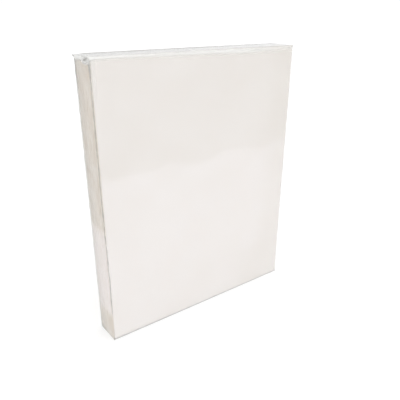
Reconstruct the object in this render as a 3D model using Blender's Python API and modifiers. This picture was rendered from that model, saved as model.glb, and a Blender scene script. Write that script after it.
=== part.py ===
"""A stretched artist's canvas: stretcher bars, corner keys, primed cloth, staples and shrink film.

The canvas stands on its lower edge, with the painting face toward -Y, +X to the right and +Z up.
The origin is the middle of the whole object's footprint. Every size is in metres.
"""

import math

import bmesh
import bpy
from mathutils import Matrix, Vector

# Stretcher frame
FRAME_WIDTH = 0.254  # across the bars' outer edges
FRAME_HEIGHT = 0.3048
BAR_WIDTH = 0.024  # outer edge to inner edge
BAR_DEPTH = 0.0304  # front lip to back face
LIP_WIDTH = 0.005  # the flat lip that carries the cloth
LIP_RADIUS = 0.001
FACE_FALL = 0.0025  # how far the bar's face drops away from the cloth
EDGE_RADIUS = 0.0008

# Corner joints, one tenon and one slot on each bar end
TENON_THICKNESS = 0.0046
MIDDLE_WALL = 0.005  # wood between the two tenons of a corner

# Corner keys
KEY_LENGTH = 0.040
KEY_TIP_WIDTH = 0.0025
KEY_HEAD_WIDTH = 0.013
KEY_TIP_DEPTH = 0.004  # from the frame's outer edge to the key's tip
KEY_PLAY = 0.0003  # each side of the key's thickness, less than the tenon's
KEY_BEVEL = 0.0004

# Cloth
CLOTH_THICKNESS = 0.0006
CLOTH_TURN = 0.018  # width of the cloth turned over onto the bars' backs

# Staples
STAPLE_CROWN = 0.0106
STAPLE_LEG = 0.008
LEG_POINT = 0.001
WIRE_THICKNESS = 0.0005
WIRE_WIDTH = 0.00125
STAPLE_INSET = 0.010  # from the frame's outer edge to the crown
STAPLES_ACROSS = 4  # on the top and the bottom bar
STAPLES_UP = 5  # on the left and the right bar
END_MARGIN = 0.038  # from the frame's corner to the first straight staple
FOLD_STAPLE_MARGIN = 0.022  # from the frame's corner to the staple that holds the corner fold

# Shrink film
FILM_THICKNESS = 0.0003
FILM_TURN = 0.021  # width of the film drawn over onto the back

# Clearances
GAP = 0.0003  # between pieces that touch
CUT_MARGIN = 0.005  # how far a cutter runs past what it cuts

# Levels worked out from the sizes above
CLOTH_REACH = GAP + CLOTH_THICKNESS
FILM_REACH = CLOTH_REACH + GAP + FILM_THICKNESS
FILM_BACK_REACH = CLOTH_REACH + GAP + WIRE_THICKNESS + GAP + FILM_THICKNESS
BAR_FRONT = (FILM_REACH - FILM_BACK_REACH - BAR_DEPTH) / 2
BAR_BACK = BAR_FRONT + BAR_DEPTH
FRAME_CENTRE = Vector((0, BAR_FRONT, FILM_REACH + FRAME_HEIGHT / 2))
FRONT_TENON = (BAR_DEPTH - MIDDLE_WALL) / 2 - TENON_THICKNESS  # depth below the bars' front
BACK_TENON = (BAR_DEPTH + MIDDLE_WALL) / 2
KEY_TAPER = (KEY_HEAD_WIDTH - KEY_TIP_WIDTH) / KEY_LENGTH

# Each bar by name: its length, the turn about Y that points its outer edge outward, and whether it stands
BARS = {
    "top": (FRAME_WIDTH, 0, False),
    "bottom": (FRAME_WIDTH, math.pi, False),
    "left": (FRAME_HEIGHT, -math.pi / 2, True),
    "right": (FRAME_HEIGHT, math.pi / 2, True),
}


def clear_scene():
    for item in list(bpy.data.objects):
        bpy.data.objects.remove(item, do_unlink=True)


def new_collection(name):
    collection = bpy.data.collections.new(name)
    bpy.context.scene.collection.children.link(collection)
    return collection


def material(name, colour, roughness, metallic=0.0, alpha=1.0):
    result = bpy.data.materials.new(name)
    result.use_nodes = True
    shader = result.node_tree.nodes["Principled BSDF"]
    shader.inputs["Base Color"].default_value = (*colour, 1.0)
    shader.inputs["Roughness"].default_value = roughness
    shader.inputs["Metallic"].default_value = metallic
    shader.inputs["Alpha"].default_value = alpha
    return result


def close_mesh(mesh, edit):
    """Weld the edit mesh, point its faces outward and store it."""
    bmesh.ops.remove_doubles(edit, verts=edit.verts, dist=1e-6)
    bmesh.ops.recalc_face_normals(edit, faces=edit.faces)
    edit.to_mesh(mesh)
    edit.free()


def prism(name, outline, low, high, along, collection):
    """A flat outline drawn out along one axis, from low to high.

    The outline's pairs are the other two coordinates, in X, Y, Z order.
    """
    curve = bpy.data.curves.new(name, "CURVE")
    curve.dimensions = "2D"
    curve.fill_mode = "BOTH"
    curve.extrude = (high - low) / 2
    spline = curve.splines.new("POLY")
    spline.points.add(len(outline) - 1)
    for point, (a, b) in zip(spline.points, outline):
        point.co = (a, b, 0, 1)
    spline.use_cyclic_u = True
    drawn = bpy.data.objects.new(name + "_outline", curve)
    collection.objects.link(drawn)
    evaluated = drawn.evaluated_get(bpy.context.evaluated_depsgraph_get())
    mesh = bpy.data.meshes.new_from_object(evaluated)
    bpy.data.objects.remove(drawn)
    bpy.data.curves.remove(curve)

    columns = {"X": ((0, 1, 0), (0, 0, 1), (1, 0, 0)),
               "Y": ((1, 0, 0), (0, 0, 1), (0, 1, 0)),
               "Z": ((1, 0, 0), (0, 1, 0), (0, 0, 1))}[along]
    mesh.transform(Matrix(columns).transposed().to_4x4() @ Matrix.Translation((0, 0, (low + high) / 2)))
    edit = bmesh.new()
    edit.from_mesh(mesh)
    close_mesh(mesh, edit)
    result = bpy.data.objects.new(name, mesh)
    collection.objects.link(result)
    return result


def rounded(corners, steps=4):
    """An outline from corners (a, b, radius), each corner with a radius made an arc."""
    outline = []
    for i, (a, b, radius) in enumerate(corners):
        corner = Vector((a, b))
        if not radius:
            outline.append(corner)
            continue
        before = (Vector(corners[i - 1][:2]) - corner).normalized()
        after = (Vector(corners[(i + 1) % len(corners)][:2]) - corner).normalized()
        half_angle = before.angle(after) / 2
        centre = corner + (before + after).normalized() * radius / math.sin(half_angle)
        start = (corner + before * radius / math.tan(half_angle) - centre).normalized()
        end = (corner + after * radius / math.tan(half_angle) - centre).normalized()
        outline += [centre + radius * start.slerp(end, step / steps) for step in range(steps + 1)]
    return outline


def add_bevel(item, width, segments=1):
    bevel = item.modifiers.new("edges", "BEVEL")
    bevel.width = width
    bevel.segments = segments
    bevel.limit_method = "ANGLE"


def cut(item, cutter):
    boolean = item.modifiers.new(cutter.name, "BOOLEAN")
    boolean.operation = "DIFFERENCE"
    boolean.solver = "EXACT"
    boolean.object = cutter


def as_cutter(item):
    item.hide_render = True
    item.display_type = "WIRE"
    return item


def place(item, location, turn, holder):
    """Hang the item on its holder, turned about Y."""
    item.parent = holder
    item.location = location
    item.rotation_euler = (0, turn, 0)


def key_wall(distance):
    """How far from the corner the slot's sloping wall is, at a distance in from the outer edge."""
    key_width = KEY_TIP_WIDTH + (distance - KEY_TIP_DEPTH) * KEY_TAPER
    return BAR_WIDTH + GAP + key_width + GAP * math.hypot(1, KEY_TAPER)


def end_cutters(name, length, tenon, slot, collection):
    """The cutters that shape both ends of a bar: the mitres each side of its tenon, and its slot.

    Outlines are drawn as (distance from the bar's end, distance from its outer edge).
    """
    near = -CUT_MARGIN
    far = BAR_WIDTH + CUT_MARGIN
    step_back = GAP / math.sqrt(2)
    mitre = ((near + step_back, near), (far + step_back, far), (near + step_back, far))
    slot_outline = ((near, near), (key_wall(near), near), (key_wall(far), far), (near, far))
    shapes = (
        ("front_mitre", mitre, near, tenon),
        ("back_mitre", mitre, tenon + TENON_THICKNESS, BAR_DEPTH + CUT_MARGIN),
        ("slot", slot_outline, slot - GAP, slot + TENON_THICKNESS + GAP),
    )
    cutters = []
    for end, side in (("low", -1), ("high", 1)):
        for shape, outline, start, stop in shapes:
            drawn = [(side * (length / 2 - across), -inward) for across, inward in outline]
            cutter = prism(f"{name}_{end}_{shape}_cutter", drawn, start, stop, "Y", collection)
            cutters.append(as_cutter(cutter))
    return cutters


def make_bar(name, length, turn, stands, wood, parts, cutters, holder):
    """One stretcher bar: its outer edge is at local Z 0, its front lip at local Y 0."""
    profile = rounded([
        (0, 0, LIP_RADIUS),
        (BAR_DEPTH, 0, EDGE_RADIUS),
        (BAR_DEPTH, -BAR_WIDTH, EDGE_RADIUS),
        (FACE_FALL, -BAR_WIDTH, EDGE_RADIUS),
        (0, -LIP_WIDTH, 0),
    ])
    bar = prism(name, profile, -length / 2, length / 2, "X", parts)
    bar.data.materials.append(wood)
    tenon, slot = (FRONT_TENON, BACK_TENON) if stands else (BACK_TENON, FRONT_TENON)
    outward = Vector((math.sin(turn), 0, math.cos(turn)))
    half_span = (FRAME_WIDTH if stands else FRAME_HEIGHT) / 2
    place(bar, FRAME_CENTRE + outward * half_span, turn, holder)
    for cutter in end_cutters(name, length, tenon, slot, cutters):
        place(cutter, bar.location, turn, holder)
        cut(bar, cutter)
    return bar


def make_key(name, side, level, upright, wood, parts, holder):
    """A corner key, its origin at the tip on the straight edge that slides along a bar.

    side is -1 on the left and 1 on the right; level is -1 at the bottom and 1 at the top.
    """
    outline = [(0, 0), (KEY_TIP_WIDTH, 0), (KEY_HEAD_WIDTH, KEY_LENGTH), (0, KEY_LENGTH)]
    if upright:
        drawn = [(-side * a, -level * b) for a, b in outline]
        across, inward, depth = BAR_WIDTH + GAP, KEY_TIP_DEPTH, FRONT_TENON
    else:
        drawn = [(-side * b, -level * a) for a, b in outline]
        across, inward, depth = KEY_TIP_DEPTH, BAR_WIDTH + GAP, BACK_TENON
    key = prism(name, drawn, KEY_PLAY, TENON_THICKNESS - KEY_PLAY, "Y", parts)
    key.data.materials.append(wood)
    add_bevel(key, KEY_BEVEL)
    corner = Vector((side * (FRAME_WIDTH / 2 - across), depth, level * (FRAME_HEIGHT / 2 - inward)))
    place(key, FRAME_CENTRE + corner, 0, holder)


def make_wrapper(name, reach, back_reach, thickness, turn_width, finish, parts, holder):
    """A thin sheet over the frame's front and edges, turned over onto its back around an opening.

    reach and back_reach are how far the sheet's outer surface lies outside the bars.
    """
    depth = reach + BAR_DEPTH + back_reach
    size = Vector((FRAME_WIDTH + 2 * reach, depth, FRAME_HEIGHT + 2 * reach))
    middle = Vector((0, depth / 2 - reach, 0))
    edit = bmesh.new()
    bmesh.ops.create_cube(edit, size=1, matrix=Matrix.Translation(middle) @ Matrix.Diagonal((*size, 1)))
    front_edges = [e for e in edit.edges if all(v.co.y < middle.y for v in e.verts)]
    bmesh.ops.bevel(edit, geom=front_edges, offset=LIP_RADIUS + reach, segments=4, profile=0.5,
                    affect="EDGES")
    back = max(edit.faces, key=lambda face: face.calc_center_median().y)
    bmesh.ops.inset_individual(edit, faces=[back], thickness=turn_width, use_even_offset=True)
    bmesh.ops.delete(edit, geom=[back], context="FACES")
    mesh = bpy.data.meshes.new(name)
    close_mesh(mesh, edit)
    mesh.shade_smooth()
    mesh.set_sharp_from_angle(angle=math.radians(40))
    wrapper = bpy.data.objects.new(name, mesh)
    parts.objects.link(wrapper)
    mesh.materials.append(finish)
    solidify = wrapper.modifiers.new("thickness", "SOLIDIFY")
    solidify.thickness = thickness
    solidify.offset = -1
    solidify.use_even_offset = True
    place(wrapper, FRAME_CENTRE, 0, holder)
    return wrapper


def make_staple(name, spot, turn, steel, parts, cutters, holder):
    """A staple driven through the turned cloth; returns the cutter for its two leg holes.

    The crown lies along local X and the legs point toward -Y. spot is the crown's middle, as (x, z).
    """
    half = STAPLE_CROWN / 2
    inner = half - WIRE_THICKNESS
    tip = WIRE_THICKNESS - STAPLE_LEG
    outline = rounded([
        (-half, WIRE_THICKNESS, WIRE_THICKNESS * 0.8),
        (-half, tip + LEG_POINT, 0),
        (-inner, tip, 0),
        (-inner, 0, 0),
        (inner, 0, 0),
        (inner, tip, 0),
        (half, tip + LEG_POINT, 0),
        (half, WIRE_THICKNESS, WIRE_THICKNESS * 0.8),
    ], steps=3)
    staple = prism(name, outline, -WIRE_WIDTH / 2, WIRE_WIDTH / 2, "Z", parts)
    staple.data.materials.append(steel)
    location = Vector((spot.x, BAR_DEPTH + CLOTH_REACH + GAP, spot.y))
    place(staple, FRAME_CENTRE + location, turn, holder)

    edit = bmesh.new()
    hole = Vector((WIRE_THICKNESS + 2 * GAP, CUT_MARGIN - tip + GAP, WIRE_WIDTH + 2 * GAP))
    for side in (-1, 1):
        middle = Vector((side * (half + inner) / 2, CUT_MARGIN - hole.y / 2, 0))
        bmesh.ops.create_cube(edit, size=1, matrix=Matrix.Translation(middle) @ Matrix.Diagonal((*hole, 1)))
    mesh = bpy.data.meshes.new(name + "_holes_cutter")
    close_mesh(mesh, edit)
    cutter = as_cutter(bpy.data.objects.new(mesh.name, mesh))
    cutters.objects.link(cutter)
    place(cutter, staple.location, turn, holder)
    return cutter


def staple_places(side):
    """Where the staples of one bar go: names, the crown's middle on the back, and its turn about Y."""
    length, turn, stands = BARS[side]
    count = STAPLES_UP if stands else STAPLES_ACROSS
    half_span = (FRAME_WIDTH if stands else FRAME_HEIGHT) / 2
    along = Vector((math.cos(turn), -math.sin(turn)))
    outward = Vector((math.sin(turn), math.cos(turn)))
    row = outward * (half_span - STAPLE_INSET)
    first = END_MARGIN - length / 2
    step = -2 * first / (count - 1)
    for i in range(count):
        yield f"{side}_staple_{i + 1}", row + along * (first + i * step), turn
    if not stands:
        for end in (-1, 1):
            corner = "left" if end * along.x < 0 else "right"
            spot = row + along * end * (length / 2 - FOLD_STAPLE_MARGIN)
            yield f"{side}_{corner}_fold_staple", spot, turn - end * math.pi / 4


def build():
    clear_scene()
    parts = new_collection("stretched_canvas")
    cutters = new_collection("cutters")
    holder = bpy.data.objects.new("stretched_canvas_origin", None)
    parts.objects.link(holder)

    pine = material("pine", (0.72, 0.55, 0.35), 0.6)
    beech = material("key_wood", (0.66, 0.46, 0.28), 0.55)
    steel = material("galvanised_steel", (0.62, 0.62, 0.60), 0.35, metallic=1.0)
    primed = material("primed_cotton", (0.86, 0.83, 0.80), 0.75)
    clear = material("clear_film", (0.95, 0.95, 0.95), 0.1, alpha=0.25)

    cloth = make_wrapper("primed_canvas", CLOTH_REACH, CLOTH_REACH, CLOTH_THICKNESS, CLOTH_TURN,
                         primed, parts, holder)
    make_wrapper("shrink_film", FILM_REACH, FILM_BACK_REACH, FILM_THICKNESS, FILM_TURN,
                 clear, parts, holder)
    for side, (length, turn, stands) in BARS.items():
        bar = make_bar(f"{side}_bar", length, turn, stands, pine, parts, cutters, holder)
        for name, spot, staple_turn in staple_places(side):
            holes = make_staple(name, spot, staple_turn, steel, parts, cutters, holder)
            cut(bar, holes)
            cut(cloth, holes)
    for height, level in (("bottom", -1), ("top", 1)):
        for hand, side in (("left", -1), ("right", 1)):
            make_key(f"{height}_{hand}_upright_key", side, level, True, beech, parts, holder)
            make_key(f"{height}_{hand}_level_key", side, level, False, beech, parts, holder)


build()
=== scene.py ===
"""Looks for a stretched canvas in clear shrink film: cloth, film, wood, staples, light and camera.

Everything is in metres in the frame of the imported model: the painting face looks toward -Y, +Z is up.
"""

import math

import bpy
import numpy as np
from mathutils import Matrix, Vector


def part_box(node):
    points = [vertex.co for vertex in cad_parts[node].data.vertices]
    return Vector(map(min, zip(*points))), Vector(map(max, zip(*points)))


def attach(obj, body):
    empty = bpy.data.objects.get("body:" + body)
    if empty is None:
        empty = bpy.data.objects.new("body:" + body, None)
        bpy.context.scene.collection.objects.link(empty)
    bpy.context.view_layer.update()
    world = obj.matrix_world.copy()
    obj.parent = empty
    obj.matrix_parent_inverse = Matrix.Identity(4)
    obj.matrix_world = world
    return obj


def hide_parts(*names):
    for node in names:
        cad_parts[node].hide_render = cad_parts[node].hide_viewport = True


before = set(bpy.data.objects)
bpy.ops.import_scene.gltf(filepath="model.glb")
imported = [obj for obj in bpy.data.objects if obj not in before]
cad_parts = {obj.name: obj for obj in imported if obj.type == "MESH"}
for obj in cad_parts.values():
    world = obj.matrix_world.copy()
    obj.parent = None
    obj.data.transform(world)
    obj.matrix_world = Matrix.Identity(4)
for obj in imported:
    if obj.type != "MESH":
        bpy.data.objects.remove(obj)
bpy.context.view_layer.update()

# The wooden frame's outer box, and how far the cloth and the film stand off it
TOP_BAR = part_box("top_bar")
LEFT_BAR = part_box("left_bar")
HALF_WIDTH = TOP_BAR[1].x
HALF_HEIGHT = (LEFT_BAR[1].z - LEFT_BAR[0].z) / 2
MIDDLE_HEIGHT = (LEFT_BAR[1].z + LEFT_BAR[0].z) / 2
BAR_FRONT = TOP_BAR[0].y
BAR_BACK = TOP_BAR[1].y
CLOTH_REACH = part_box("primed_canvas")[1].x - HALF_WIDTH
FILM_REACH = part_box("shrink_film")[1].x - HALF_WIDTH
FILM_BACK_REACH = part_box("shrink_film")[1].y - BAR_BACK
LIP_RADIUS = 0.001
CLOTH_TURN = 0.018  # how far the cloth runs in over the back
FILM_TURN = 0.021
CLOTH_THICKNESS = 0.00042
FILM_THICKNESS = 0.00005
THREAD_PITCH = 0.00068
BODY = "stretched_frame"
BEAD_POINTS = 10  # points round each bead and ear

CAMERA_ANGLES = (-37.77, 24.81, 0.69)  # azimuth, elevation and roll, in degrees
CAMERA_PLACE = (-0.3048, -0.4162, 0.3516)
CAMERA_LENS = 41.89
CAMERA_SHIFT = (-0.020, 0.045)


# ---------------------------------------------------------------- shaping

def smooth(low, high, value):
    """0 below low, 1 above high, and a smooth step between."""
    t = np.clip((value - low) / (high - low), 0, 1)
    return t * t * (3 - 2 * t)


def waves(points, wavelength, seed, count=9):
    """A smooth irregular field of about -1 to 1 over points, of roughly one wavelength."""
    rng = np.random.default_rng(seed)
    field = np.zeros(len(points))
    for _ in range(count):
        direction = rng.normal(size=points.shape[1])
        direction /= np.linalg.norm(direction)
        length = wavelength * rng.uniform(0.6, 1.7)
        field += np.sin(points @ direction * 2 * math.pi / length + rng.uniform(0, 2 * math.pi))
    return field / math.sqrt(count)


def near_line(points, start, end, width):
    """1 on the line from start to end, fading over width to its sides and toward both ends."""
    start, end = np.array(start), np.array(end)
    along = end - start
    t = np.clip((points - start) @ along / (along @ along), 0, 1)
    away = np.linalg.norm(points - start - t[:, None] * along, axis=1)
    return np.exp(-(away / width) ** 2) * np.sin(math.pi * (0.08 + 0.84 * t))


def spread(length, fine, coarse, growth):
    """Positions from -length/2 to length/2, fine apart at both ends and coarse apart between."""
    steps = [fine]
    while sum(steps) < length / 2:
        steps.append(min(coarse, steps[-1] * growth))
    half = np.concatenate([[0], np.cumsum(steps)])
    half *= length / 2 / half[-1]
    ends = -length / 2 + half
    return np.concatenate([ends, -ends[-2::-1]])


class Sheet:
    """Thin material laid over the frame's front, round its edges and onto its back.

    It is a grid over the front, with rings of points round it. Each ring follows the frame's outline
    at one station of the section that runs from the front, over the edge, to the cut edge behind.
    """

    INSET = -0.006  # the grid stops this far inside the frame's edge
    ARC_STEPS = 5

    def __init__(self, reach, back_reach, back_radius, turn, side_steps, flap_steps, spacing):
        self.reach = reach
        self.front = BAR_FRONT - reach
        self.back = BAR_BACK + back_reach
        self.turn = turn
        self._stations(LIP_RADIUS + reach, back_radius, side_steps, flap_steps)
        self._points(spacing)
        self._measure()

    def _stations(self, front_radius, back_radius, side_steps, flap_steps):
        """Rows of outset from the frame's edge, depth, outward normal, backward normal and run."""
        reach, front, back = self.reach, self.front, self.back
        flat_end = reach - front_radius
        face = [(outset, front, 0, -1) for outset in np.linspace(self.INSET, flat_end, 4)[:-1]]
        lip = [(flat_end + front_radius * math.sin(a), front + front_radius * (1 - math.cos(a)),
                math.sin(a), -math.cos(a)) for a in np.linspace(0, math.pi / 2, 8)]
        side = [(reach, depth, 1, 0)
                for depth in np.linspace(front + front_radius, back - back_radius, side_steps)[1:-1]]
        heel = [(reach - back_radius * (1 - math.cos(a)), back - back_radius * (1 - math.sin(a)),
                 math.cos(a), math.sin(a)) for a in np.linspace(0, math.pi / 2, 6)]
        flap = [(outset, back, 0, 1)
                for outset in np.linspace(reach - back_radius, reach - self.turn, flap_steps)[1:]]
        rows = np.array(face + lip + side + heel + flap)
        run = np.concatenate([[0], np.cumsum(np.hypot(*np.diff(rows[:, :2], axis=0).T))])
        self.stations = np.column_stack([rows, run])
        self.lip_run = run[len(face + lip) - 5]
        self.side_run = run[len(face + lip) - 1]
        self.heel_run = run[len(face + lip + side) + 2]
        self.flap_run = run[len(face + lip + side + heel) - 1]
        self.end_run = run[-1]

    def _points(self, spacing):
        half = (HALF_WIDTH + self.INSET, HALF_HEIGHT + self.INSET)
        across, up = (spread(2 * h, *spacing) for h in half)
        nx, nz = len(across) - 1, len(up) - 1
        xx, zz = np.meshgrid(across, up, indexing="ij")
        grid = np.column_stack([xx.ravel(), zz.ravel()])
        points = [(x, self.front, z) for x, z in grid]
        normals = [(0, -1, 0)] * len(points)
        cut = [tuple(place) for place in grid]
        run = [0.0] * len(points)
        upright = [False] * len(points)

        def at(i, j):
            return i * (nz + 1) + j

        # Each side: positions along it as shares of its half length, outward and onward directions,
        # and the grid points that its innermost ring shares
        sides = (
            (across / half[0], (0, -1), (1, 0), [at(i, 0) for i in range(nx + 1)]),
            (up / half[1], (1, 0), (0, 1), [at(nx, j) for j in range(nz + 1)]),
            (across / half[0], (0, 1), (-1, 0), [at(i, nz) for i in range(nx, -1, -1)]),
            (up / half[1], (-1, 0), (0, -1), [at(0, j) for j in range(nz, -1, -1)]),
        )
        ring = []
        for _, _, _, members in sides:
            ring += members + [members[-1]] * (self.ARC_STEPS - 1)
        rings = [ring]

        def add(x, z, depth, outward, out, back, cut_place, length, is_upright):
            ring.append(len(points))
            points.append((x, depth, z))
            normals.append((outward[0] * out, back, outward[1] * out))
            cut.append(cut_place)
            run.append(length)
            upright.append(is_upright)

        for outset, depth, out, back, length in self.stations[1:]:
            # The outline is nearly square: a fold's small radius, less at the face's own corner
            radius = 0.0002 + 0.0009 * float(smooth(-0.004, self.reach, np.array(outset)))
            hx, hz = HALF_WIDTH + outset, HALF_HEIGHT + outset
            ring = []
            for shares, (ox, oz), (ax, az), _ in sides:
                straight = abs(ax) * (hx - radius) + abs(az) * (hz - radius)
                for share in shares:
                    add(ox * hx + ax * share * straight, oz * hz + az * share * straight, depth,
                        (ox, oz), out, back,
                        (ox * (half[0] + length) + ax * share * half[0],
                         oz * (half[1] + length) + az * share * half[1]), length, ox != 0)
                for step in range(1, self.ARC_STEPS):
                    angle = step / self.ARC_STEPS * math.pi / 2
                    dx = ox * math.cos(angle) + ax * math.sin(angle)
                    dz = oz * math.cos(angle) + az * math.sin(angle)
                    add((ox + ax) * (hx - radius) + dx * radius, (oz + az) * (hz - radius) + dz * radius,
                        depth, (dx, dz), out, back,
                        ((ox + ax) * half[0] + dx * length, (oz + az) * half[1] + dz * length),
                        length, ox != 0)
            rings.append(ring)

        self.points = np.array(points, float)
        self.points[:, 2] += MIDDLE_HEIGHT
        self.normals = np.array(normals, float)
        self.cut = np.array(cut, float)
        self.run = np.array(run, float)
        self.upright = np.array(upright)
        self.faces = [(at(i, j), at(i + 1, j), at(i + 1, j + 1), at(i, j + 1))
                      for i in range(nx) for j in range(nz)]
        for inner, outer in zip(rings, rings[1:]):
            for m in range(len(inner)):
                n = (m + 1) % len(inner)
                face = tuple(dict.fromkeys((inner[m], outer[m], outer[n], inner[n])))
                if len(face) > 2:
                    self.faces.append(face)

    def _measure(self):
        """What the shaping reads: place on the face, distances from the edges, and which part it is."""
        self.x = self.points[:, 0].copy()
        self.z = self.points[:, 2] - MIDDLE_HEIGHT
        self.flat = np.column_stack([self.x, self.z])
        self.from_sides = HALF_WIDTH + self.reach - np.abs(self.x)
        self.from_ends = HALF_HEIGHT + self.reach - np.abs(self.z)
        self.from_corner = np.where(self.upright, self.from_ends, self.from_sides)
        self.off_mitre = np.abs(self.from_sides - self.from_ends)
        self.along = np.column_stack([np.where(self.upright, self.z, self.x), self.upright * 0.5])
        self.on_face = 1 - smooth(0.004, 0.009, self.run)
        self.on_back = smooth(self.flap_run - 0.002, self.flap_run + 0.001, self.run)
        self.on_side = smooth(self.side_run - 0.003, self.side_run, self.run) - self.on_back

    def lift(self, height):
        """Moves each point along its normal."""
        self.points += self.normals * height[:, None]

    def draw_in(self, distance):
        """Moves each point toward the frame's middle, square to its own side, or both ways at a mitre."""
        other = distance * np.exp(-self.off_mitre / 0.004)
        self.points[:, 0] -= np.sign(self.x) * np.where(self.upright, distance, other)
        self.points[:, 2] -= np.sign(self.z) * np.where(self.upright, other, distance)

    def section(self, run):
        """Outset, depth, outward normal and backward normal at a run along the section."""
        return [np.interp(run, self.stations[:, 4], self.stations[:, i]) for i in range(4)]

    def build(self, name, materials, thickness):
        piece = mesh_piece(name, self.points, self.faces, materials[0])
        layer = piece.data.uv_layers.new(name="cloth_cut")
        corners = np.zeros(len(piece.data.loops), int)
        piece.data.loops.foreach_get("vertex_index", corners)
        layer.data.foreach_set("uv", self.cut[corners].ravel())
        thicken(piece, thickness, materials[1:])
        return piece


# ---------------------------------------------------------------- mesh helpers

def mesh_piece(name, points, faces, material):
    mesh = bpy.data.meshes.new(name)
    mesh.from_pydata([tuple(p) for p in points], [], faces)
    mesh.validate()
    mesh.shade_smooth()
    mesh.materials.append(material)
    piece = bpy.data.objects.new(name, mesh)
    bpy.context.scene.collection.objects.link(piece)
    return piece


def thicken(piece, thickness, inner_materials=()):
    """Makes a closed shell by adding an inner skin, with its own material where one is given."""
    for material in inner_materials:
        piece.data.materials.append(material)
    solid = piece.modifiers.new("thickness", "SOLIDIFY")
    solid.thickness = thickness
    solid.offset = -1
    solid.use_even_offset = False
    solid.material_offset = len(inner_materials)
    solid.material_offset_rim = len(inner_materials)


def set_attributes(piece, **values):
    """Stores a number for each point under each name, for the piece's material to read."""
    count = len(piece.data.vertices)
    for name, value in values.items():
        attribute = piece.data.attributes.new(name, "FLOAT", "POINT")
        attribute.data.foreach_set("value", np.broadcast_to(np.asarray(value, np.float32), count).copy())


def tube(name, centres, across, out, widths, heights, material):
    """A closed tube along centres: its ellipse is widths wide along across, and heights high along out."""
    points = []
    for centre, side, rise, width, height in zip(centres, across, out, widths, heights):
        for k in range(BEAD_POINTS):
            angle = 2 * math.pi * k / BEAD_POINTS
            points.append(centre + side * width * math.cos(angle) + rise * height * math.sin(angle))
    count = len(centres)
    faces = [(r * BEAD_POINTS + k, r * BEAD_POINTS + (k + 1) % BEAD_POINTS,
              (r + 1) * BEAD_POINTS + (k + 1) % BEAD_POINTS, (r + 1) * BEAD_POINTS + k)
             for r in range(count - 1) for k in range(BEAD_POINTS)]
    faces.append(tuple(range(BEAD_POINTS))[::-1])
    faces.append(tuple((count - 1) * BEAD_POINTS + k for k in range(BEAD_POINTS)))
    return mesh_piece(name, points, faces, material)


# ---------------------------------------------------------------- node helpers

class Nodes:
    """Short calls for building the nodes of a material, or of the world."""

    def __init__(self, owner, output="OutputMaterial"):
        self.owner = owner
        owner.use_nodes = True
        self.tree = owner.node_tree
        self.tree.nodes.clear()
        self.output = self.tree.nodes.new("ShaderNode" + output)

    def add(self, kind, _operation=None, **inputs):
        node = self.tree.nodes.new("ShaderNode" + kind)
        if _operation:
            node.operation = _operation
        for key, value in inputs.items():
            self.put(node.inputs[key.replace("_", " ")], value)
        return node

    def put(self, socket, value):
        if isinstance(value, bpy.types.NodeSocket):
            self.tree.links.new(value, socket)
        else:
            socket.default_value = value

    def math(self, operation, a, b=0.0, clamp=False):
        node = self.tree.nodes.new("ShaderNodeMath")
        node.operation = operation
        node.use_clamp = clamp
        self.put(node.inputs[0], a)
        self.put(node.inputs[1], b)
        return node.outputs[0]

    def vector(self, operation, a, b):
        node = self.tree.nodes.new("ShaderNodeVectorMath")
        node.operation = operation
        self.put(node.inputs[0], a)
        self.put(node.inputs["Scale" if operation == "SCALE" else 1], b)
        return node.outputs["Value" if operation == "DOT_PRODUCT" else 0]

    def mix(self, factor, a, b, blend="MIX"):
        node = self.tree.nodes.new("ShaderNodeMix")
        node.data_type = "RGBA"
        node.blend_type = blend
        self.put(node.inputs[0], factor)
        self.put(node.inputs[6], (*a, 1) if isinstance(a, tuple) else a)
        self.put(node.inputs[7], (*b, 1) if isinstance(b, tuple) else b)
        return node.outputs[2]

    def blend_value(self, factor, a, b):
        node = self.tree.nodes.new("ShaderNodeMix")
        self.put(node.inputs[0], factor)
        self.put(node.inputs[2], a)
        self.put(node.inputs[3], b)
        return node.outputs[0]

    def blend_shader(self, factor, a, b):
        node = self.add("MixShader", Fac=factor)
        self.put(node.inputs[1], a.outputs[0])
        self.put(node.inputs[2], b.outputs[0])
        return node

    def grey(self, value):
        return self.add("CombineColor", Red=value, Green=value, Blue=value).outputs[0]

    def noise(self, vector, scale, detail=3.0, roughness=0.5, distortion=0.0):
        node = self.add("TexNoise", Vector=vector, Scale=scale, Detail=detail, Roughness=roughness,
                        Distortion=distortion)
        return node.outputs[0]

    def ramp(self, factor, low, high, start=0.0, end=1.0):
        """start at low and below, end at high and above."""
        node = self.add("MapRange", Value=factor)
        node.inputs[1].default_value = low
        node.inputs[2].default_value = high
        node.inputs[3].default_value = start
        node.inputs[4].default_value = end
        return node.outputs[0]

    def scaled(self, vector, x, y, z):
        return self.add("Mapping", Vector=vector, Scale=(x, y, z)).outputs[0]

    def place(self, which="Object"):
        return self.tree.nodes.new("ShaderNodeTexCoord").outputs[which]

    def attribute(self, name):
        node = self.tree.nodes.new("ShaderNodeAttribute")
        node.attribute_name = name
        return node.outputs["Fac"]

    def bump(self, height, distance, strength=1.0, normal=None):
        node = self.add("Bump", Height=height, Distance=distance, Strength=strength)
        if normal is not None:
            self.put(node.inputs["Normal"], normal)
        return node.outputs[0]

    def finish(self, shader):
        self.tree.links.new(shader.outputs[0], self.output.inputs["Surface"])
        return self.owner


def material_nodes(name):
    return Nodes(bpy.data.materials.new(name))


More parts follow.
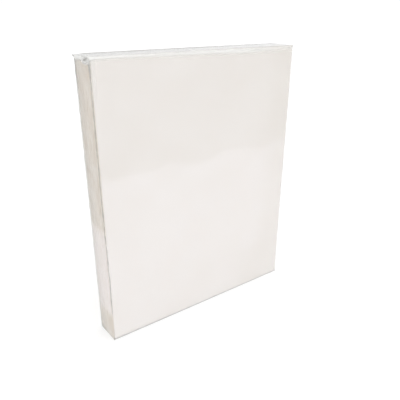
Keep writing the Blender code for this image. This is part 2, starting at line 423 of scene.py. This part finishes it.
def weave(n, wander):
    """Height of a plain weave, 0 to 1, over the cloth's own cut, with threads that wander a little."""
    cut = n.place("UV")
    drift = n.add("TexNoise", Vector=cut, Scale=140.0, Detail=2.0).outputs[1]
    drift = n.vector("SCALE", n.vector("SUBTRACT", drift, (0.5, 0.5, 0.5)), THREAD_PITCH * wander)
    place = n.add("SeparateXYZ", Vector=n.vector("ADD", cut, drift))
    across = n.math("SINE", n.math("MULTIPLY", place.outputs[0], math.pi / THREAD_PITCH))
    up = n.math("SINE", n.math("MULTIPLY", place.outputs[1], math.pi / THREAD_PITCH))
    over = n.ramp(n.math("MULTIPLY", across, up), -0.5, 0.5)
    return n.blend_value(over, n.math("ABSOLUTE", up), n.math("ABSOLUTE", across))


# ---------------------------------------------------------------- materials

def primed_cotton():
    """Acrylic primer rolled over cotton: the weave shows through softly, with painted shade in its hollows.
    The upright sides are streaked and stained, on a colour painted darker and warmer than the face as shade,
    and the level sides are painted mid grey as shade against the light from above.
    """
    n = material_nodes("primed_cotton")
    place = n.place()
    threads = weave(n, 1.6)
    patches = n.noise(place, 26.0, 4.0, 0.55)
    face = n.mix(n.ramp(patches, 0.35, 0.65), (0.854, 0.822, 0.792), (0.874, 0.846, 0.822))
    drawn = n.scaled(place, 45, 420, 45)  # streaks run along each side
    streaks = n.noise(drawn, 1.0, 4.0, 0.62)
    blotches = n.noise(place, 75.0, 3.0, 0.6)
    # The upright sides: streaks and blotches of stain, on a colour painted darker and warmer than the face
    # as shade
    upright = n.mix(n.ramp(streaks, 0.34, 0.66), (0.664, 0.565, 0.462), (0.868, 0.807, 0.735))
    upright = n.mix(n.ramp(blotches, 0.42, 0.66, 0.0, 0.6), upright, (0.86, 0.82, 0.775))
    # The level sides: painted shade, mid grey at about half the face's brightness, to hold the top and
    # bottom edges down under the light from above
    level = n.mix(n.ramp(patches, 0.35, 0.65), (0.402, 0.389, 0.362), (0.434, 0.421, 0.393))
    upright = n.mix(n.attribute("paler"), upright, (0.86, 0.80, 0.785))
    colour = n.mix(n.attribute("upright_side"), face, upright)
    colour = n.mix(n.attribute("level_side"), colour, level)
    # Darker in the weave's hollows: painted shade
    colour = n.mix(1.0, colour, n.grey(n.ramp(threads, 0.1, 0.75, 0.975, 1.0)), "MULTIPLY")
    relief = n.math("ADD", threads, n.math("MULTIPLY", n.noise(place, 900.0, 2.0), 0.35))
    normal = n.bump(relief, 0.00006, 0.38)
    normal = n.bump(patches, 0.0006, 0.25, normal)
    shader = n.add("BsdfPrincipled", Base_Color=colour, Roughness=0.62, Normal=normal)
    shader.inputs["Specular IOR Level"].default_value = 0.35
    shader.inputs["Sheen Weight"].default_value = 0.05
    return n.finish(shader)


def raw_cotton():
    """The cloth's unprimed back: plain cotton with slubs and seed specks."""
    n = material_nodes("raw_cotton")
    place = n.place()
    threads = weave(n, 2.0)
    slubs = n.math("MULTIPLY", n.noise(n.scaled(place, 60, 400, 900), 1.0, 3.0, 0.6), 0.5)
    upright_slubs = n.math("MULTIPLY", n.noise(n.scaled(place, 900, 400, 60), 1.0, 3.0, 0.6), 0.5)
    slubs = n.math("ADD", slubs, upright_slubs)
    colour = n.mix(n.ramp(slubs, 0.3, 0.7), (0.64, 0.57, 0.45), (0.75, 0.69, 0.58))
    colour = n.mix(n.ramp(n.noise(place, 520.0, 1.0), 0.73, 0.78, 0.0, 0.8), colour, (0.36, 0.25, 0.15))
    # Darker in the weave's hollows: painted shade
    colour = n.mix(1.0, colour, n.grey(n.ramp(threads, 0.0, 0.8, 0.72, 1.0)), "MULTIPLY")
    normal = n.bump(threads, 0.00014, 0.9)
    shader = n.add("BsdfPrincipled", Base_Color=colour, Roughness=0.9, Normal=normal)
    shader.inputs["Sheen Weight"].default_value = 0.25
    return n.finish(shader)


def shrink_film(name, haze):
    """Clear film: a mirror at grazing angles, let through greyer in some places than others, and cloudy
    where it is drawn into gathers, folded or welded. Its veil is whitened as a painted highlight along the
    top edge, and greyed as painted shade at edges and folds."""
    n = material_nodes(name)
    place = n.place()
    normal = n.bump(n.noise(place, 130.0, 3.0, 0.55, 0.4), 0.0005, 0.22)
    normal = n.bump(n.noise(n.scaled(place, 1, 1, 0.35), 700.0, 2.0), 0.00003, 0.3, normal)
    gloss = n.add("BsdfGlossy", Color=(1, 1, 1, 1), Roughness=0.06, Normal=normal)
    # The veil turns dark grey where the grey mask is set: painted shade at the back edges and toward the
    # back of the upright sides, in the weld, ridge and ears, and in the tuck's mouth, with a little grey at
    # the cut edge
    pale = n.mix(n.attribute("dull"), (0.955, 0.955, 0.935), (0.43, 0.42, 0.40))
    veil = n.add("BsdfDiffuse", Color=pale, Normal=normal)
    # Let through a little greyer where the clearness mask is low
    tint = n.mix(n.attribute("cling"), (0.960, 0.956, 0.947), (0.994, 0.992, 0.993))
    clear = n.add("BsdfTransparent", Color=tint)
    # How cloudy the veil is: film drawn into gathers, folded or welded, plus a painted highlight along the
    # top edge
    cloudy = n.math("ADD", n.attribute("gathered"), haze, clamp=True)
    facing = n.add("LayerWeight", Blend=0.5, Normal=normal).outputs["Facing"]
    head_on = 0.035  # the share of light that clear plastic reflects straight back
    glancing = n.math("MULTIPLY", n.math("POWER", facing, 5.0), 1 - head_on)
    mirror = n.math("ADD", head_on, glancing, clamp=True)
    return n.finish(n.blend_shader(mirror, n.blend_shader(cloudy, clear, veil), gloss))


def wood(name, grain_axis, pale, dark, ring_scale, shift):
    """Sawn softwood: growth rings drawn out along the grain, fine fibres and blotches."""
    n = material_nodes(name)
    stretch = [1.0, 1.0, 1.0]
    stretch[grain_axis] = 0.045
    place = n.add("Mapping", Vector=n.place(), Location=(shift, shift * 0.7, shift * 1.3),
                  Scale=tuple(stretch)).outputs[0]
    parts = n.add("SeparateXYZ", Vector=n.vector("ADD", place, (0.05, 0.043, 0.06)))
    first, second = (parts.outputs[axis] for axis in range(3) if axis != grain_axis)
    square = n.math("ADD", n.math("MULTIPLY", first, first), n.math("MULTIPLY", second, second))
    bend = n.math("MULTIPLY", n.noise(place, 34.0, 2.0, 0.5), 2.6)
    phase = n.math("ADD", n.math("MULTIPLY", n.math("SQRT", square), ring_scale), bend)
    band = n.math("FRACT", phase)
    late = n.math("MULTIPLY", n.ramp(band, 0.35, 0.9), n.ramp(band, 1.0, 0.93))
    fibre = n.noise(place, 1500.0, 3.0, 0.6)
    colour = n.mix(late, pale, dark)
    colour = n.mix(n.ramp(fibre, 0.3, 0.75, 0.0, 0.35), colour, tuple(0.72 * c for c in dark))
    blotch = n.ramp(n.noise(place, 60.0, 3.0), 0.35, 0.75, 0.0, 0.4)
    colour = n.mix(blotch, colour, tuple(1.08 * c for c in pale))
    normal = n.bump(n.math("SUBTRACT", n.math("MULTIPLY", late, 0.5), fibre), 0.00012, 0.55)
    rough = n.ramp(fibre, 0.2, 0.8, 0.5, 0.68)
    shader = n.add("BsdfPrincipled", Base_Color=colour, Roughness=rough, Normal=normal)
    shader.inputs["Specular IOR Level"].default_value = 0.35
    return n.finish(shader)


def galvanised_steel():
    n = material_nodes("galvanised_steel")
    spangle = n.noise(n.place(), 1600.0, 2.0)
    colour = n.mix(n.ramp(spangle, 0.3, 0.7), (0.50, 0.50, 0.49), (0.74, 0.74, 0.72))
    rough = n.ramp(spangle, 0.3, 0.7, 0.28, 0.46)
    normal = n.bump(spangle, 0.00002, 0.4)
    return n.finish(n.add("BsdfPrincipled", Base_Color=colour, Metallic=1.0, Roughness=rough, Normal=normal))


def cotton_thread():
    n = material_nodes("cotton_thread")
    colour = n.mix(n.noise(n.place(), 700.0, 2.0), (0.70, 0.64, 0.53), (0.84, 0.80, 0.72))
    return n.finish(n.add("BsdfPrincipled", Base_Color=colour, Roughness=0.85))


def pale_floor():
    n = material_nodes("pale_floor")
    tone = n.mix(n.noise(n.place(), 3.0, 2.0), (0.58, 0.58, 0.58), (0.60, 0.60, 0.60))
    shader = n.add("BsdfPrincipled", Base_Color=tone, Roughness=0.8)
    shader.inputs["Specular IOR Level"].default_value = 0.1
    shader.inputs["Emission Color"].default_value = (1, 1, 1, 1)
    shader.inputs["Emission Strength"].default_value = 0.45
    return n.finish(shader)


# ---------------------------------------------------------------- cloth

def make_cloth():
    """The primed cloth: taut over the lip, folded at the corners and stapled on the back."""
    cloth = Sheet(CLOTH_REACH, CLOTH_REACH, 0.0015, CLOTH_TURN, 16, 15, (0.0008, 0.0042, 1.13))

    # The drum: a slight hollow inside the lip and a long, shallow waviness
    in_from_edge = np.minimum(cloth.from_sides, cloth.from_ends)
    cloth_height = -cloth.on_face * 0.00025 * smooth(0.004, 0.03, in_from_edge)
    cloth_height += cloth.on_face * 0.00010 * waves(cloth.flat, 0.11, 3) * smooth(0.003, 0.03, in_from_edge)

    # Puckers across the edges, drawn toward the staples
    cloth_height += cloth.on_side * 0.00010 * waves(cloth.along, 0.045, 5)
    cloth_height += cloth.on_back * 0.00012 * waves(cloth.flat, 0.028, 7)

    # Corner folds: the spare cloth makes a slanting pleat on the upright sides
    depth = cloth.points[:, 1] - cloth.front
    pleat = smooth(-0.0006, 0.0006, depth * 0.85 - cloth.from_ends + 0.002)
    pleat *= 1 - smooth(0.028, 0.034, cloth.from_ends)
    cloth_height += cloth.upright * cloth.on_side * 0.00028 * pleat

    # and a mitred lap on the back, where the level turn lies over the upright one
    lap = smooth(-0.0004, 0.0004, cloth.from_sides - cloth.from_ends)
    lap *= 1 - smooth(0.021, 0.028, cloth.from_sides)
    cloth_height += cloth.on_back * lap * 0.00026
    cloth_height -= roll_over(cloth)

    # The cut edge curls up between the staples and wanders
    cut_edge = smooth(cloth.end_run - 0.005, cloth.end_run, cloth.run)
    cloth_height += 0.00030 * cut_edge * (0.5 + 0.5 * waves(cloth.flat, 0.05, 11))
    cloth.lift(cloth_height)
    near_cut = smooth(cloth.end_run - 0.008, cloth.end_run, cloth.run)
    cloth.draw_in(near_cut * 0.0005 * waves(cloth.flat, 0.02, 13))

    piece = cloth.build("primed_cloth", [primed_cotton(), raw_cotton()], CLOTH_THICKNESS)
    # Where the sides' colours go: the upright sides get their stain and painted shade, at half strength on
    # the back; the level sides get painted shade, a little over half at the front edge, full further back,
    # none on the back
    turned = 1 - 0.5 * cloth.on_back
    upright = smooth(cloth.lip_run - 0.0008, cloth.lip_run + 0.0008, cloth.run) * turned
    level = smooth(cloth.lip_run - 0.0005, cloth.side_run, cloth.run) * turned
    level *= (0.55 + 0.45 * smooth(0, 0.024, cloth.run - cloth.side_run)) * (1 - cloth.on_back)
    paler = 0.55 * smooth(-0.126, -0.112, cloth.z) * (1 - smooth(-0.028, -0.012, cloth.z))
    set_attributes(piece, upright_side=upright * cloth.upright, level_side=level * ~cloth.upright,
                   paler=paler)
    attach(piece, BODY)
    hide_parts("primed_canvas")


def roll_over(sheet):
    """How far the top edge is rounded in, from its left end, which is crisp, to its right."""
    roll = np.exp(-((sheet.run - sheet.lip_run) / 0.0016) ** 2)
    return 0.00042 * roll * ~sheet.upright * (sheet.z > 0) * smooth(-0.10, 0.06, sheet.x)


def make_threads():
    """Loose threads along the cloth's raw edge, lying on the bars behind."""
    threads_a_side, steps = 6, 8
    rng = np.random.default_rng(41)
    curve = bpy.data.curves.new("loose_threads", "CURVE")
    curve.dimensions = "3D"
    curve.bevel_depth = 0.00011
    curve.bevel_resolution = 1
    curve.use_fill_caps = True
    sides = ((1, 0, HALF_WIDTH, HALF_HEIGHT), (-1, 0, HALF_WIDTH, HALF_HEIGHT),
             (0, 1, HALF_HEIGHT, HALF_WIDTH), (0, -1, HALF_HEIGHT, HALF_WIDTH))
    for ox, oz, half_out, half_along in sides:
        for _ in range(threads_a_side):
            start = rng.uniform(-0.8, 0.8) * half_along
            length = rng.uniform(0.003, 0.0055)
            drift = rng.uniform(-0.6, 0.6)
            phase = rng.uniform(0, 2 * math.pi)
            spline = curve.splines.new("POLY")
            spline.points.add(steps)
            for k, point in enumerate(spline.points):
                share = k / steps
                out = half_out + CLOTH_REACH - CLOTH_TURN + 0.001 - share * length
                along = start + drift * share * length + 0.0004 * math.sin(5 * share + phase)
                y = BAR_BACK + 0.00035 + 0.0002 * (1 - share)
                point.co = (ox * out + oz * along, y, MIDDLE_HEIGHT + oz * out + ox * along, 1)
    curve.materials.append(cotton_thread())
    threads = bpy.data.objects.new("loose_threads", curve)
    bpy.context.scene.collection.objects.link(threads)
    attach(threads, BODY)


# ---------------------------------------------------------------- film

# Creases pressed into the film over the face, as start and end from the face's middle, and width
FACE_CREASES = (
    ((-0.115, -0.147), (-0.098, -0.138), 0.0011),
    ((-0.119, -0.141), (-0.104, -0.132), 0.0010),
    ((-0.112, -0.151), (-0.090, -0.145), 0.0010),
    ((-0.122, -0.130), (-0.114, -0.122), 0.0009),
    ((-0.118, 0.146), (-0.104, 0.134), 0.0013),
    ((0.116, 0.147), (0.098, 0.137), 0.0012),
    ((0.121, -0.139), (0.107, -0.128), 0.0012),
    ((0.112, -0.148), (0.094, -0.143), 0.0011),
    ((-0.119, 0.048), (-0.096, 0.042), 0.0030),
    ((-0.090, 0.045), (-0.060, 0.040), 0.0032),
)


def make_film():
    """The shrink film: taut over the face, creased at its corners, drawn into gathers behind."""
    film = Sheet(FILM_REACH, FILM_BACK_REACH, 0.002, FILM_TURN, 20, 16, (0.0008, 0.0034, 1.09))
    away = np.hypot(film.from_sides, film.from_ends)  # from the nearest corner of the face

    # Creases that fan out from each corner over the face, dying away toward the middle
    angle = np.arctan2(film.from_ends, film.from_sides)
    turn = (film.x > 0) * 1.7 + (film.z > 0) * 2.9
    fan = np.cos(11 * angle + turn) + 0.5 * np.cos(23 * angle + 2 * turn)
    height = film.on_face * 0.00016 * fan * smooth(0.003, 0.012, away) * np.exp(-away / 0.028)
    height += film.on_face * 0.00006 * waves(film.flat, 0.05, 21)
    for start, end, width in FACE_CREASES:
        height += film.on_face * 0.00035 * near_line(film.flat, start, end, width)

    # Gathers across the sides, stronger toward the back where the film is drawn in
    deep = smooth(film.front + 0.008, film.back, film.points[:, 1])
    calm = np.where(film.upright, 1.0, 0.12)
    calm = calm * smooth(0.0003, 0.005, film.from_corner)
    height += film.on_side * calm * (0.00004 + 0.00006 * deep) * waves(film.along, 0.011, 23)
    gathers = smooth(film.flap_run, film.flap_run + 0.005, film.run) * smooth(0.001, 0.006, film.off_mitre)
    height += gathers * 0.00022 * waves(film.along, 0.009, 27)
    height -= roll_over(film)
    film.lift(np.maximum(height, -0.00012))

    # The free edge behind is uneven, and rounds the corners of its opening
    inner = smooth(film.flap_run, film.end_run, film.run)
    film.draw_in(inner * (0.0012 * waves(film.flat, 0.06, 29) + 0.0045 * np.exp(-film.off_mitre / 0.012)))

    piece = film.build("shrink_film_skin", [shrink_film("clear_film", 0.02)], FILM_THICKNESS)
    set_attributes(piece, **film_finish(film, away))
    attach(piece, BODY)
    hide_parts("shrink_film")
    return film


def film_finish(film, away):
    """How clear the film is from place to place, how cloudy its veil is, with a painted highlight along the
    top edge, and how grey the veil is, mostly as painted shade.
    """
    # It is let through clearer over the lower part of the face and a band part way down each upright side,
    # and greyer above, at the right and lower right of the face, and elsewhere on the sides
    border = 0.040 + 0.003 * waves(film.flat, 0.06, 31)
    face = 0.62 + 0.38 * smooth(0.003, -0.003, film.z - border)
    low = -0.120 + 0.004 * waves(film.flat, 0.03, 33)
    high = -0.018 + 0.004 * waves(film.flat, 0.03, 35)
    side = smooth(-0.004, 0.004, film.z - low) * (1 - smooth(-0.003, 0.003, film.z - high))
    sideways = smooth(film.side_run - 0.003, film.side_run, film.run)
    right = 0.26 * smooth(0.080, 0.114, film.x + 0.004 * waves(film.flat, 0.05, 39))
    low_right = 0.30 * smooth(0.150, 0.215, film.x - film.z + 0.006 * waves(film.flat, 0.06, 51))
    face -= np.maximum(right, low_right)
    cling = (1 - sideways) * face + sideways * np.where(film.upright, side, 0.6)

    # A grey line down each back edge, and grey growing toward the back on the upright sides: film drawn into
    # gathers, its grey a painted shade. Cloudy corners, a cloudy and slightly grey cut edge, and a band of
    # doubled film beside the weld
    uneven = 0.8 + 0.2 * waves(film.along, 0.03, 37)
    strength = np.where(film.upright, 0.25 + 0.6 * smooth(0.10, 0.145, film.z), 0.7)
    wide = np.where(film.upright, 0.0018, 0.0060)
    heel = np.exp(-((film.run - film.heel_run + 0.6 * wide) / wide) ** 2) * uneven * strength
    deep = smooth(film.front + 0.004, film.back, film.points[:, 1]) * film.upright * sideways * 0.10
    corners = np.exp(-away / 0.004) * 0.12
    rim = smooth(film.end_run - 0.0012, film.end_run, film.run) * 0.4
    # A painted highlight: the veil is whitened in a narrow line along the top edge, which widens and comes
    # down the face to the right, where the rounded edge's reflection lies
    over = film.from_ends - film.points[:, 1] + film.front
    middle = 0.0011 + 0.0009 * smooth(-0.105, -0.05, film.x) + 0.0013 * smooth(-0.05, 0.08, film.x)
    before = 0.0012 + 0.0010 * smooth(-0.05, 0.08, film.x)
    milky = np.exp(-((over - middle) / np.where(over > middle, before, 0.0046)) ** 2)
    milky *= (film.z > 0) * (1 - sideways * film.upright)
    milky *= 0.66 - 0.16 * np.exp(-((film.x + 0.055) / 0.03) ** 2) - 0.40 * smooth(0.04, 0.11, film.x)
    # and the veil is whitened over the top of the left side, where the film is folded over: the fold's own
    # haze
    fold_edge = 0.0008 * waves(film.along[:, :1] + film.points[:, 1:2], 0.02, 55)
    folded = 1 - smooth(0.0030, 0.0058, film.from_ends + fold_edge)
    folded *= (film.x < 0) * (film.z > 0)
    milky += folded * sideways * (0.50 * film.upright + 0.6 * np.exp(-((away / 0.0018) ** 2)))
    doubled = smooth(-0.1225, -0.1245, film.x) * smooth(0.105, 0.135, film.z) * (1 - sideways) * 0.10
    return {"cling": np.clip(cling, 0, 1),
            "gathered": np.clip(0.7 * heel + deep + corners + rim + doubled + milky, 0, 1),
            "dull": np.clip((2 * heel + 6 * deep) * (1 - 0.8 * folded) + 0.3 * rim, 0, 1)}


def make_bead(name, film, path, run, size, cloudy, hazy):
    """A bead of film along a path on the frame's outline, at a run of the film's section for each point."""
    outset, depth, out, back = film.section(run)
    centres = np.column_stack([path[:, 0] + path[:, 2] * outset, depth,
                               MIDDLE_HEIGHT + path[:, 1] + path[:, 3] * outset])
    rise = np.column_stack([path[:, 2] * out, back, path[:, 3] * out])
    across = np.cross(np.gradient(centres, axis=0), rise)
    across /= np.linalg.norm(across, axis=1)[:, None]
    bead = tube(name, centres, across, rise, size[0], size[1], hazy)
    # The bead's veil is grey: the welded or folded film's own haze, with painted shade of the edge it lies
    # along
    set_attributes(bead, gathered=np.repeat(cloudy, BEAD_POINTS), dull=0.75, cling=0.8)
    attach(bead, BODY)


def path_length(path):
    return np.concatenate([[0], np.cumsum(np.hypot(*np.diff(path[:, :2], axis=0).T))])


def make_weld(film, hazy):
    """The welded seam: an uneven bead down the left front edge, along the bottom and up the right."""
    turn = 0.0012
    hx, hz = HALF_WIDTH, HALF_HEIGHT
    path = [(-hx, z, -1, 0) for z in np.arange(hz - 0.0005, -hz + turn, -0.002)]
    for corner_x, start in ((-hx + turn, math.pi), (hx - turn, 1.5 * math.pi)):
        if corner_x > 0:
            path += [(x, -hz, 0, -1) for x in np.arange(-hx + turn + 0.002, hx - turn, 0.002)]
        for a in np.linspace(start, start + math.pi / 2, 6):
            path.append((corner_x + turn * math.cos(a), -hz + turn + turn * math.sin(a),
                         math.cos(a), math.sin(a)))
    path += [(hx, z, 1, 0) for z in np.arange(-hz + turn + 0.002, hz - 0.001, 0.002)]
    path = np.array(path)
    length = path_length(path)
    line = length[:, None]

    # It lies on the left side at the top, and comes forward onto the edge half way down
    run = film.side_run - 0.0013 - 0.0009 * smooth(0.15, 0.22, length) + 0.00022 * waves(line, 0.035, 43)
    ends = smooth(0, 0.004, length) * smooth(0, 0.010, length[-1] - length)
    uneven = 1 + 0.22 * waves(line, 0.012, 45) + 0.10 * waves(line, 0.004, 47)
    left = 1 - smooth(2 * hz - 0.004, 2 * hz + 0.004, length)
    foot = smooth(2 * hz - 0.052, 2 * hz - 0.026, length) * left  # where the left seam fades out
    size = uneven * (0.2 + 0.8 * ends) * (1 - 0.6 * foot)
    width = (0.00062 + 0.00024 * smooth(0.03, 0.0, length)) * size
    along_bottom = np.clip((length - 2 * hz) / (2 * hx), 0, 1)
    cloudy = left * (0.18 + 0.36 * smooth(0.020, 0.004, length)) * (1 - foot)
    cloudy += (1 - left) * (0.46 - 0.36 * along_bottom)
    cloudy *= 1 + 0.2 * waves(line, 0.02, 49)
    make_bead("film_weld", film, path, run, (width, 0.00024 * size), cloudy, hazy)


def make_ridge(film, hazy):
    """The film's folded ridge along the top's back edge, thinner toward the right."""
    path = np.array([(x, HALF_HEIGHT, 0, 1) for x in np.arange(-HALF_WIDTH + 0.004, HALF_WIDTH, 0.002)])
    length = path_length(path)
    rightward = smooth(0.05, 0.24, length)
    ends = smooth(0, 0.006, length) * smooth(0, 0.006, length[-1] - length)
    size = (0.25 + 0.75 * ends) * (1 - 0.45 * rightward) * (1 + 0.06 * waves(length[:, None], 0.05, 57))
    run = np.full(len(path), film.heel_run - 0.0012)
    make_bead("film_ridge", film, path, run, (0.0013 * size, 0.00036 * size), 0.85 - 0.60 * rightward, hazy)


def make_ear(name, tip_from, direction, length, radius, hazy):
    """A twisted corner of spare film, shrunk to a short crumpled point."""
    direction = Vector(direction).normalized()
    side = direction.orthogonal().normalized()
    rows = 12
    centres, across, rise, widths, heights = [], [], [], [], []
    for row in range(rows):
        share = row / (rows - 1)
        twist = Matrix.Rotation(2.6 * share, 3, direction)
        centres.append(Vector(tip_from) + direction * length * share + side * 0.10 * length * share * share)
        across.append(twist @ side)
        rise.append(twist @ direction.cross(side))
        fade = radius * (1 - 0.8 * share) * (1 + 0.18 * math.sin(9 * share + length * 900))
        widths.append(fade)
        heights.append(fade * 0.55)
    ear = tube(name, centres, across, rise, widths, heights, hazy)
    # The ear's veil is dark grey: painted shade in its crumpled folds
    set_attributes(ear, gathered=0.80, dull=0.90, cling=0.8)
    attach(ear, BODY)


def make_ears(hazy):
    """Five ears. Each has a name, where it starts, its direction, its length and its radius."""
    x, top = HALF_WIDTH + FILM_REACH, MIDDLE_HEIGHT + HALF_HEIGHT + FILM_REACH
    front, back = BAR_FRONT - FILM_REACH, BAR_BACK + FILM_BACK_REACH
    bottom = MIDDLE_HEIGHT - HALF_HEIGHT - FILM_REACH
    ears = (
        ("back_left", (-x + 0.0006, back - 0.0008, top - 0.0014), (-0.8, 0.35, 0.4), 0.0016, 0.0016),
        ("back_right", (x - 0.0012, back - 0.0012, top - 0.0012), (0.7, 0.5, 0.3), 0.0020, 0.0010),
        ("front_right", (x - 0.0012, front + 0.0012, top - 0.0012), (0.9, -0.1, 0.1), 0.0020, 0.0010),
        ("foot_left", (-x + 0.0012, front + 0.0012, bottom + 0.0013), (-0.5, -0.8, 0), 0.0024, 0.0011),
        ("foot_right", (x - 0.0012, front + 0.0012, bottom + 0.0013), (0.6, -0.6, 0), 0.0020, 0.0010),
    )
    for name, start, direction, length, radius in ears:
        make_ear("film_ear_" + name, start, direction, length, radius, hazy)


def make_tuck(hazy):
    """The film's spare corner, folded over the top of the left side, with its mouth a little open: the
    mouth's inside is a shallow dish painted dark grey as the shade in the opening.
    """
    middle = (BAR_FRONT + 0.0048, MIDDLE_HEIGHT + HALF_HEIGHT - 0.0009)
    surface = -HALF_WIDTH - FILM_REACH
    slant = math.radians(-14)
    mouth_half_size = (0.0046, 0.0009)
    patch_half_size = (0.0094, 0.0036)
    patch_offset = (0.0006, -0.0012)
    segments = 40
    # From the mouth outward: share of the way to the patch's outline, growth of the mouth, lift
    rows = ((0.0, 0.1, 0.00030), (0.0, 0.75, 0.00032), (0.0, 1.0, 0.00042), (0.02, 1.12, 0.00080),
            (0.08, 1.2, 0.00075), (0.25, 1.2, 0.00050), (0.5, 1.2, 0.00040), (0.8, 1.2, 0.00030),
            (0.96, 1.2, 0.00022), (1.0, 1.2, -0.00005))
    points, dull, cloudy = [], [], []
    for share, growth, lift in rows:
        for k in range(segments):
            angle = 2 * math.pi * k / segments
            along = mouth_half_size[0] * growth * math.cos(angle)
            high = mouth_half_size[1] * growth * math.sin(angle)
            mouth = (along * math.cos(slant) - high * math.sin(slant),
                     along * math.sin(slant) + high * math.cos(slant))
            wave = 1 + 0.07 * math.sin(3 * angle + 1) + 0.05 * math.sin(7 * angle)
            square = max(abs(math.cos(angle)), abs(math.sin(angle))) ** 0.6
            edge = (patch_half_size[0] * math.cos(angle) * wave / square + patch_offset[0],
                    patch_half_size[1] * math.sin(angle) * wave / square + patch_offset[1])
            y = middle[0] + (1 - share) * mouth[0] + share * edge[0]
            z = middle[1] + (1 - share) * mouth[1] + share * edge[1]
            points.append((surface - lift, y, z))
            # The mouth's rings are dark grey: painted shade inside the opening
            dull.append(1.0 if share == 0 else 0.10)
            cloudy.append(0.85 if share == 0 else 0.50 * (1 - share))
    faces = [(r * segments + k, (r + 1) * segments + k, (r + 1) * segments + (k + 1) % segments,
              r * segments + (k + 1) % segments) for r in range(len(rows) - 1) for k in range(segments)]
    faces.append(tuple(range(segments)))
    tuck = mesh_piece("film_tuck", points, faces, hazy)
    set_attributes(tuck, gathered=cloudy, dull=dull, cling=0.8)
    thicken(tuck, FILM_THICKNESS)
    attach(tuck, BODY)


# ---------------------------------------------------------------- wood and steel

def dress_nodes():
    """Materials for the bars, keys and staples, and softened edges on the bars."""
    pine = ((0.80, 0.64, 0.43), (0.62, 0.41, 0.22), 210.0)
    key_wood = ((0.76, 0.58, 0.38), (0.60, 0.40, 0.23), 500.0)
    woods = {
        "level_bar": wood("pine_level", 0, *pine, 0.4),
        "upright_bar": wood("pine_upright", 2, *pine, 1.3),
        "level_key": wood("key_wood_level", 0, *key_wood, 2.2),
        "upright_key": wood("key_wood_upright", 2, *key_wood, 3.1),
    }
    steel = galvanised_steel()
    for name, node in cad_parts.items():
        if name.endswith("_bar"):
            material = woods["upright_bar" if name.startswith(("left", "right")) else "level_bar"]
            worn = node.modifiers.new("worn_edges", "BEVEL")
            worn.width = 0.0003
            worn.segments = 2
            worn.limit_method = "ANGLE"
            worn.angle_limit = math.radians(50)
        elif name.endswith("_key"):
            material = woods["upright_key" if "upright" in name else "level_key"]
        elif "staple" in name:
            material = steel
        else:
            continue
        node.data.materials.clear()
        node.data.materials.append(material)


# ---------------------------------------------------------------- stage

def make_floor():
    just_under = -0.0002
    bpy.ops.mesh.primitive_plane_add(size=120, location=(0, 0, just_under))
    floor = bpy.context.active_object
    floor.name = "floor"
    floor.data.materials.append(pale_floor())


def make_light():
    """An even white studio: a soft panel overhead, and dimmer walls behind and to the left."""
    n = Nodes(bpy.data.worlds.new("studio"), "OutputWorld")
    direction = n.place("Generated")
    height = n.add("SeparateXYZ", Vector=direction).outputs[2]
    wall = n.ramp(n.vector("DOT_PRODUCT", direction, (0.6, -0.8, 0.0)), -0.7, 0.6, 0.45, 1.08)
    level = n.blend_value(n.ramp(height, 0.55, 0.90), wall, 1.5)
    level = n.blend_value(n.ramp(height, 0.05, 0.22), 1.05, level)
    bpy.context.scene.world = n.finish(n.add("Background", Color=(1, 1, 1, 1), Strength=level))


def make_camera():
    """Above and to the left of the canvas, rolled a little, as a hand-held camera is."""
    azimuth, elevation, roll = (math.radians(a) for a in CAMERA_ANGLES)
    back = Vector((math.sin(azimuth) * math.cos(elevation), -math.cos(azimuth) * math.cos(elevation),
                   math.sin(elevation)))
    right = Vector((0, 0, 1)).cross(back).normalized()
    up = back.cross(right)
    across = right * math.cos(roll) + up * math.sin(roll)
    data = bpy.data.cameras.new("camera")
    data.lens = CAMERA_LENS
    data.shift_x, data.shift_y = CAMERA_SHIFT
    data.clip_start = 0.01
    camera = bpy.data.objects.new("camera", data)
    camera.matrix_world = Matrix((across, back.cross(across), back)).transposed().to_4x4()
    camera.location = CAMERA_PLACE
    bpy.context.scene.collection.objects.link(camera)
    bpy.context.scene.camera = camera


def main():
    make_camera()
    make_light()
    make_floor()
    dress_nodes()
    make_cloth()
    make_threads()
    film = make_film()
    hazy = shrink_film("hazy_film", 0.05)
    make_weld(film, hazy)
    make_ridge(film, hazy)
    make_ears(hazy)
    make_tuck(hazy)
    bpy.context.scene.view_settings.view_transform = "Standard"


main()
